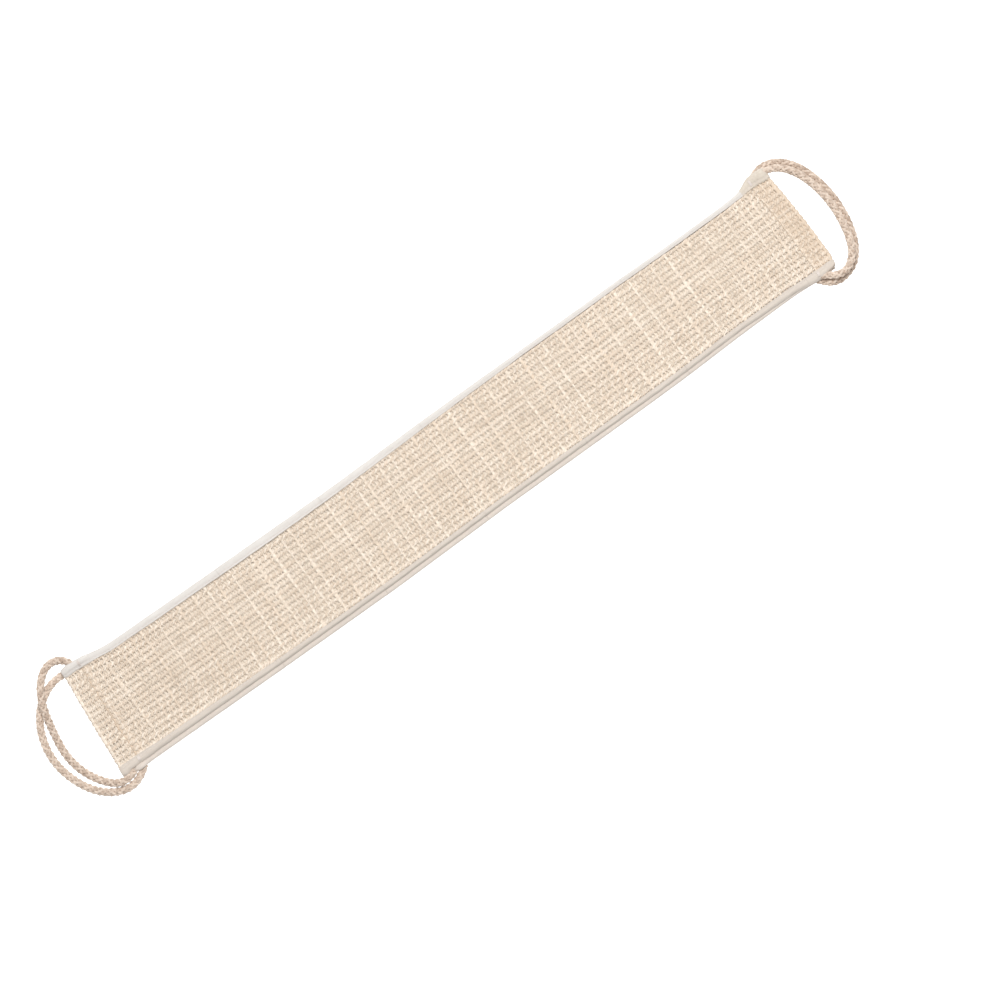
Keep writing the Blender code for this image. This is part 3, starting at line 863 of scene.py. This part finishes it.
for number in range(1, SEGMENTS):
    start, end = length_span(number)
    wefts = make_wefts(number, start, end)
    wales = make_wales(number, start, end)
    fibres = make_fibres(number, start, end, round(FIBRES * (end - start) / (RIGHT - LEFT)))
    ground = make_ground(number, start, end)
    for piece in (wefts, wales, fibres, ground):
        attach(piece, number, "sisal_mesh", *nodes_of("front_mesh", number))
    back = attach(make_back(number, start, end), number, "back_cloth", *nodes_of("back_cloth", number))

    tape_start, tape_end = max(start, -TAB_START), min(end, TAB_START)
    for word, side, cloth in (("upper", 1, upper_tape), ("lower", -1, shaded_lower_tape)):
        band = make_tape(f"{word}_tape_{number}", tape_start, tape_end, side, cloth)
        attach(band, number, "binding", *nodes_of(f"{word}_binding", number))
        row = make_stitches(f"{word}_stitches_{number}", tape_line(side), tape_start, tape_end)
        attach(row, number, "thread")

for hand, end, body in (("left", -1, "strap_1"), ("right", 1, f"strap_{SEGMENTS}")):
    for word, side, tape in (("upper", 1, upper_tape), ("lower", -1, shaded_lower_tape)):
        cloth = folded_mesh if (hand, word) == ("right", "upper") else tape
        corner = make_corner(f"{hand}_{word}_corner", end, side, cloth)
        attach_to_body(corner, body)
        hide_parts(f"{hand}_{word}_corner_tab")
        row_start, row_end = end * (TAB_START + 0.5 * MM), end * (HALF_LENGTH - 2 * MM)
        row = make_stitches(f"{hand}_{word}_corner_stitches", tape_line(side), row_start, row_end)
        bartack = make_bartack(f"{hand}_{word}_bartack_stitches", end, side)
        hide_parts(f"{hand}_{word}_bartack")
        for sewn in (row, bartack):
            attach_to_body(sewn, body)


# Camera, floor and light

AZIMUTH = math.radians(-36.1)
ELEVATION = math.radians(82)
DISTANCE = 2.4
FIELD = 0.7853  # width of the view at the strap
AIM_RIGHT, AIM_DOWN = 0.0385, 0.0243  # from the strap's middle to the middle of the view
SENSOR_WIDTH = 36  # in millimetres, as the lens is

camera = bpy.data.objects.new("camera", bpy.data.cameras.new("camera"))
bpy.context.scene.collection.objects.link(camera)
bpy.context.scene.camera = camera
back_way = Vector(
    (
        math.sin(AZIMUTH) * math.cos(ELEVATION),
        -math.cos(AZIMUTH) * math.cos(ELEVATION),
        math.sin(ELEVATION),
    )
)
right_way = Vector((math.cos(AZIMUTH), math.sin(AZIMUTH), 0))
up_way = back_way.cross(right_way)
aim = right_way * AIM_RIGHT - up_way * AIM_DOWN
camera.location = aim + back_way * DISTANCE
camera.rotation_euler = back_way.to_track_quat("Z", "Y").to_euler()
camera.data.sensor_width = SENSOR_WIDTH
camera.data.lens = SENSOR_WIDTH / 2 / (FIELD / 2 / DISTANCE)

FLOOR_LEVEL = -0.32  # so far below the strap that its ends have room to bend down
REACH = 6  # of the floor and the walls, each way
FLOOR_GLOW, WALL_GLOW = 0.42, 1.0
SKY_STRENGTH = 0.58
KEY_PLACE, KEY_SIZE, KEY_POWER = (0.50, 0.78, 2.6), 1.2, 63


def add_stage(name, corners, faces, glow):
    """A plain white surface round the strap, with a little light of its own."""
    material = bpy.data.materials.new(name)
    material.use_nodes = True
    shader = material.node_tree.nodes["Principled BSDF"]
    shader.inputs["Base Color"].default_value = (0.95, 0.95, 0.95, 1)
    shader.inputs["Emission Color"].default_value = (1, 1, 1, 1)
    shader.inputs["Emission Strength"].default_value = glow
    shader.inputs["Roughness"].default_value = 0.9
    shader.inputs["Specular IOR Level"].default_value = 0.1
    mesh = bpy.data.meshes.new(name)
    mesh.from_pydata(corners, [], faces)
    mesh.materials.append(material)
    made = bpy.data.objects.new(name, mesh)
    bpy.context.scene.collection.objects.link(made)
    return made


turns = ((-1, -1), (1, -1), (1, 1), (-1, 1))
low_corners = [(x * REACH, y * REACH, FLOOR_LEVEL) for x, y in turns]
high_corners = [(x, y, REACH) for x, y, _ in low_corners]
add_stage("floor", low_corners, [(0, 1, 2, 3)], FLOOR_GLOW)
wall_faces = [(side, (side + 1) % 4, (side + 1) % 4 + 4, side + 4) for side in range(4)]
walls = add_stage("walls", low_corners + high_corners, wall_faces, WALL_GLOW)
walls.visible_diffuse = walls.visible_glossy = walls.visible_shadow = False  # they only close the view

world = bpy.data.worlds.new("studio")
world.use_nodes = True
world.node_tree.nodes["Background"].inputs["Color"].default_value = (1.0, 1.0, 1.0, 1)
world.node_tree.nodes["Background"].inputs["Strength"].default_value = SKY_STRENGTH
bpy.context.scene.world = world


def add_light(name, place, size, power):
    light = bpy.data.objects.new(name, bpy.data.lights.new(name, "AREA"))
    light.data.shape = "DISK"
    light.data.size = size
    light.data.energy = power
    light.location = place
    light.rotation_euler = Vector(place).to_track_quat("Z", "Y").to_euler()
    bpy.context.scene.collection.objects.link(light)


add_light("key", KEY_PLACE, KEY_SIZE, KEY_POWER)
bpy.context.scene.view_settings.view_transform = "Standard"
